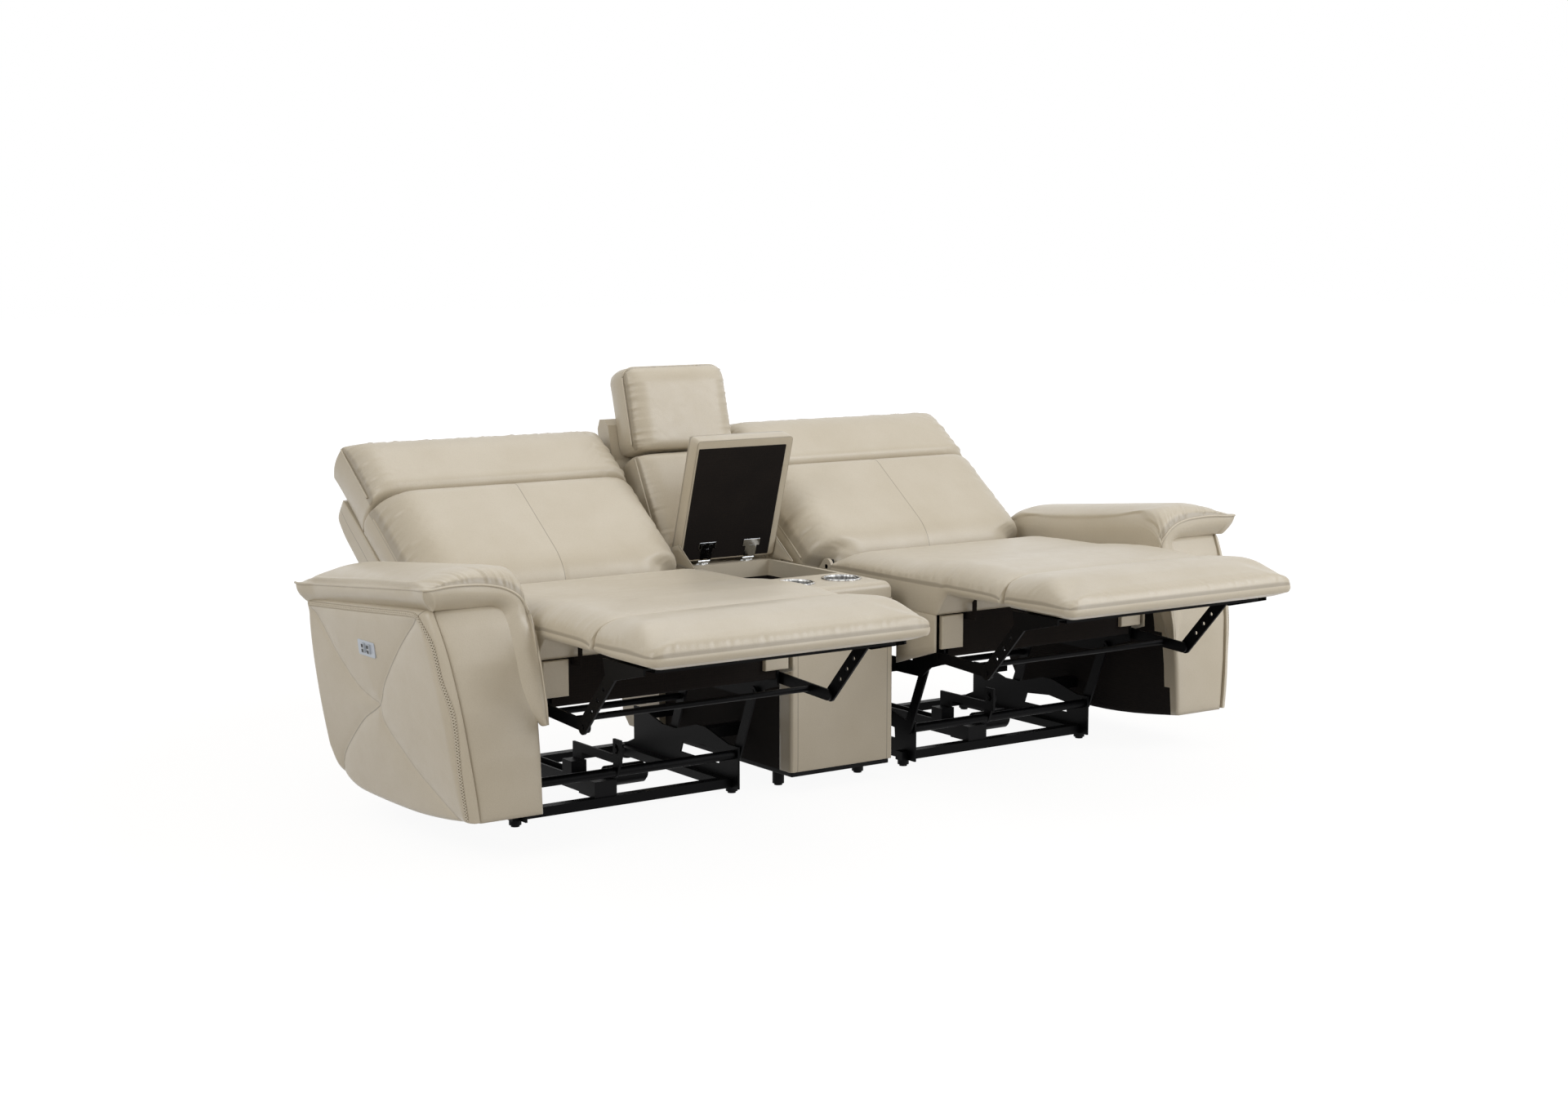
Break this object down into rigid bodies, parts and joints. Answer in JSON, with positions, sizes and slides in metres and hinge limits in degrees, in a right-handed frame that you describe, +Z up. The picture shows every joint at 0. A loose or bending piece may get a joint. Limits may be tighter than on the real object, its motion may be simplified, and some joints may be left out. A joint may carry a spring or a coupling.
{
  "type": "reclining loveseat",
  "caption": "Two-seat power recliner sofa with a lidded console between the seats, folding legrests, tilting headrests and push-button switches on the arms.",
  "frame": {"origin": "centre of the footprint of the whole reclined assembly, on the floor", "axes": "+X towards the seated person's left, the right of the picture; +Y to the rear; +Z up"},
  "size_m": [2.3, 1.4491, 0.9463],
  "materials": {
    "taupe_leather": "smooth semi-gloss",
    "black_cloth": "woven matt",
    "black_steel": "satin black paint",
    "grey_metal": "satin",
    "black_plastic": "matt",
    "stainless": "brushed",
    "chrome": "polished",
    "silver_plastic": "satin silver",
    "button_plastic": "satin silver"
  },
  "bodies": {
    "base": {"feet": "black_plastic", "console_body": "taupe_leather", "console_top": "taupe_leather", "cup_holders": "stainless", "console_back_cushion": "taupe_leather", "console_head_roll": "taupe_leather", "console_back_shell": "taupe_leather", "lid_hinge_bases": "chrome", "switch_plates": "silver_plastic", "base_frame_left": "black_steel", "actuator_left": "grey_metal", "arm_core_left": "taupe_leather", "arm_wing_left": "taupe_leather", "arm_pad_left": "taupe_leather", "base_frame_right": "black_steel", "actuator_right": "grey_metal", "arm_core_right": "taupe_leather", "arm_wing_right": "taupe_leather", "arm_pad_right": "taupe_leather"},
    "lid": {"lid_board": "taupe_leather", "lid_lining": "black_cloth", "lid_hinge_leaves": "chrome"},
    "swing_front_left": {"front_links_left": "black_steel"},
    "swing_rear_left": {"rear_links_left": "black_steel"},
    "seat_left": {"seat_frame_left": "black_steel", "seat_deck_left": "black_cloth", "seat_strips_left": "taupe_leather", "seat_cushion_left": "taupe_leather"},
    "chaise_left": {"mid_pad_left": "taupe_leather"},
    "leg_left": {"leg_links_left": "black_steel"},
    "shin_left": {"shin_links_left": "black_steel"},
    "footrest_left": {"foot_pad_left": "taupe_leather", "foot_board_left": "black_steel"},
    "back_left": {"back_frame_left": "black_steel", "back_shell_left": "taupe_leather", "back_cushion_left": "taupe_leather", "head_brackets_left": "black_steel"},
    "head_left": {"headrest_left": "taupe_leather"},
    "drive_left": {"drive_block_left": "black_plastic"},
    "button_front_left": {"button_front_left": "button_plastic"},
    "button_rear_left": {"button_rear_left": "button_plastic"},
    "swing_front_right": {"front_links_right": "black_steel"},
    "swing_rear_right": {"rear_links_right": "black_steel"},
    "seat_right": {"seat_frame_right": "black_steel", "seat_deck_right": "black_cloth", "seat_strips_right": "taupe_leather", "seat_cushion_right": "taupe_leather"},
    "chaise_right": {"mid_pad_right": "taupe_leather"},
    "leg_right": {"leg_links_right": "black_steel"},
    "shin_right": {"shin_links_right": "black_steel"},
    "footrest_right": {"foot_pad_right": "taupe_leather", "foot_board_right": "black_steel"},
    "back_right": {"back_frame_right": "black_steel", "back_shell_right": "taupe_leather", "back_cushion_right": "taupe_leather", "head_brackets_right": "black_steel"},
    "head_right": {"headrest_right": "taupe_leather"},
    "drive_right": {"drive_block_right": "black_plastic"},
    "button_front_right": {"button_front_right": "button_plastic"},
    "button_rear_right": {"button_rear_right": "button_plastic"}
  },
  "joints": [
    {"name": "lid_hinge", "type": "hinge", "parent": "base", "child": "lid", "pos_m": [0, 0.364, 0.486], "axis": [1, 0, 0], "range_deg": [0, 73.4]},
    {"name": "recline_left", "type": "hinge", "parent": "base", "child": "swing_front_left", "pos_m": [-0.54, -0.062, 0.095], "axis": [-1, 0, 0], "range_deg": [0, 45]},
    {"name": "rear_swing_left", "type": "hinge", "parent": "base", "child": "swing_rear_left", "pos_m": [-0.54, 0.218, 0.095], "axis": [-1, 0, 0], "range_deg": [0, 45]},
    {"name": "seat_shift_left", "type": "hinge", "parent": "swing_front_left", "child": "seat_left", "pos_m": [-0.54, -0.12706, 0.25206], "axis": [1, 0, 0], "range_deg": [0, 45]},
    {"name": "back_fold_left", "type": "hinge", "parent": "seat_left", "child": "back_left", "pos_m": [-0.54, 0.248, 0.462], "axis": [1, 0, 0], "range_deg": [0, 28]},
    {"name": "chaise_fold_left", "type": "hinge", "parent": "seat_left", "child": "chaise_left", "pos_m": [-0.54, -0.252, 0.452], "axis": [1, 0, 0], "range_deg": [0, 50]},
    {"name": "leg_fold_left", "type": "hinge", "parent": "seat_left", "child": "leg_left", "pos_m": [-0.54, -0.2, 0.296], "axis": [1, 0, 0], "range_deg": [0, 79.3]},
    {"name": "shin_fold_left", "type": "hinge", "parent": "leg_left", "child": "shin_left", "pos_m": [-0.54, -0.392, 0.285], "axis": [-1, 0, 0], "range_deg": [0, 78.2]},
    {"name": "footrest_fold_left", "type": "hinge", "parent": "shin_left", "child": "footrest_left", "pos_m": [-0.54, -0.517, 0.418], "axis": [1, 0, 0], "range_deg": [0, 88.9]},
    {"name": "drive_slide_left", "type": "slide", "parent": "base", "child": "drive_left", "axis": [0, 1, 0], "range_m": [0, 0.04592]},
    {"name": "headrest_tilt_left", "type": "hinge", "parent": "back_left", "child": "head_left", "pos_m": [-0.54, 0.53216, 0.65517], "axis": [1, 0, 0], "range_deg": [0, 24]},
    {"name": "press_front_left", "type": "slide", "parent": "base", "child": "button_front_left", "axis": [0.9928, 0, 0.1201], "range_m": [0, 0.0015], "stiffness_N_per_m": 400},
    {"name": "press_rear_left", "type": "slide", "parent": "base", "child": "button_rear_left", "axis": [0.9928, 0, 0.1201], "range_m": [0, 0.0015], "stiffness_N_per_m": 400},
    {"name": "recline_right", "type": "hinge", "parent": "base", "child": "swing_front_right", "pos_m": [0.54, -0.062, 0.095], "axis": [-1, 0, 0], "range_deg": [0, 45]},
    {"name": "rear_swing_right", "type": "hinge", "parent": "base", "child": "swing_rear_right", "pos_m": [0.54, 0.218, 0.095], "axis": [-1, 0, 0], "range_deg": [0, 45]},
    {"name": "seat_shift_right", "type": "hinge", "parent": "swing_front_right", "child": "seat_right", "pos_m": [0.54, -0.12706, 0.25206], "axis": [1, 0, 0], "range_deg": [0, 45]},
    {"name": "back_fold_right", "type": "hinge", "parent": "seat_right", "child": "back_right", "pos_m": [0.54, 0.248, 0.462], "axis": [1, 0, 0], "range_deg": [0, 28]},
    {"name": "chaise_fold_right", "type": "hinge", "parent": "seat_right", "child": "chaise_right", "pos_m": [0.54, -0.252, 0.452], "axis": [1, 0, 0], "range_deg": [0, 50]},
    {"name": "leg_fold_right", "type": "hinge", "parent": "seat_right", "child": "leg_right", "pos_m": [0.54, -0.2, 0.296], "axis": [1, 0, 0], "range_deg": [0, 79.3]},
    {"name": "shin_fold_right", "type": "hinge", "parent": "leg_right", "child": "shin_right", "pos_m": [0.54, -0.392, 0.285], "axis": [-1, 0, 0], "range_deg": [0, 78.2]},
    {"name": "footrest_fold_right", "type": "hinge", "parent": "shin_right", "child": "footrest_right", "pos_m": [0.54, -0.517, 0.418], "axis": [1, 0, 0], "range_deg": [0, 88.9]},
    {"name": "drive_slide_right", "type": "slide", "parent": "base", "child": "drive_right", "axis": [0, 1, 0], "range_m": [0, 0.04592]},
    {"name": "headrest_tilt_right", "type": "hinge", "parent": "back_right", "child": "head_right", "pos_m": [0.54, 0.53216, 0.65517], "axis": [1, 0, 0], "range_deg": [0, 24]},
    {"name": "press_front_right", "type": "slide", "parent": "base", "child": "button_front_right", "axis": [-0.9928, 0, 0.1201], "range_m": [0, 0.0015], "stiffness_N_per_m": 400},
    {"name": "press_rear_right", "type": "slide", "parent": "base", "child": "button_rear_right", "axis": [-0.9928, 0, 0.1201], "range_m": [0, 0.0015], "stiffness_N_per_m": 400}
  ],
  "couplings": [
    {"joint": "rear_swing_left", "follows": "recline_left", "ratio": 1},
    {"joint": "seat_shift_left", "follows": "recline_left", "ratio": 1},
    {"joint": "back_fold_left", "follows": "recline_left", "ratio": 0.62222},
    {"joint": "chaise_fold_left", "follows": "recline_left", "ratio": 1.1111},
    {"joint": "leg_fold_left", "follows": "recline_left", "ratio": 1.7622},
    {"joint": "shin_fold_left", "follows": "recline_left", "ratio": 1.7378},
    {"joint": "footrest_fold_left", "follows": "recline_left", "ratio": 1.9756},
    {"joint": "drive_slide_left", "follows": "recline_left", "m_per_rad": 0.05847},
    {"joint": "rear_swing_right", "follows": "recline_right", "ratio": 1},
    {"joint": "seat_shift_right", "follows": "recline_right", "ratio": 1},
    {"joint": "back_fold_right", "follows": "recline_right", "ratio": 0.62222},
    {"joint": "chaise_fold_right", "follows": "recline_right", "ratio": 1.1111},
    {"joint": "leg_fold_right", "follows": "recline_right", "ratio": 1.7622},
    {"joint": "shin_fold_right", "follows": "recline_right", "ratio": 1.7378},
    {"joint": "footrest_fold_right", "follows": "recline_right", "ratio": 1.9756},
    {"joint": "drive_slide_right", "follows": "recline_right", "m_per_rad": 0.05847}
  ]
}
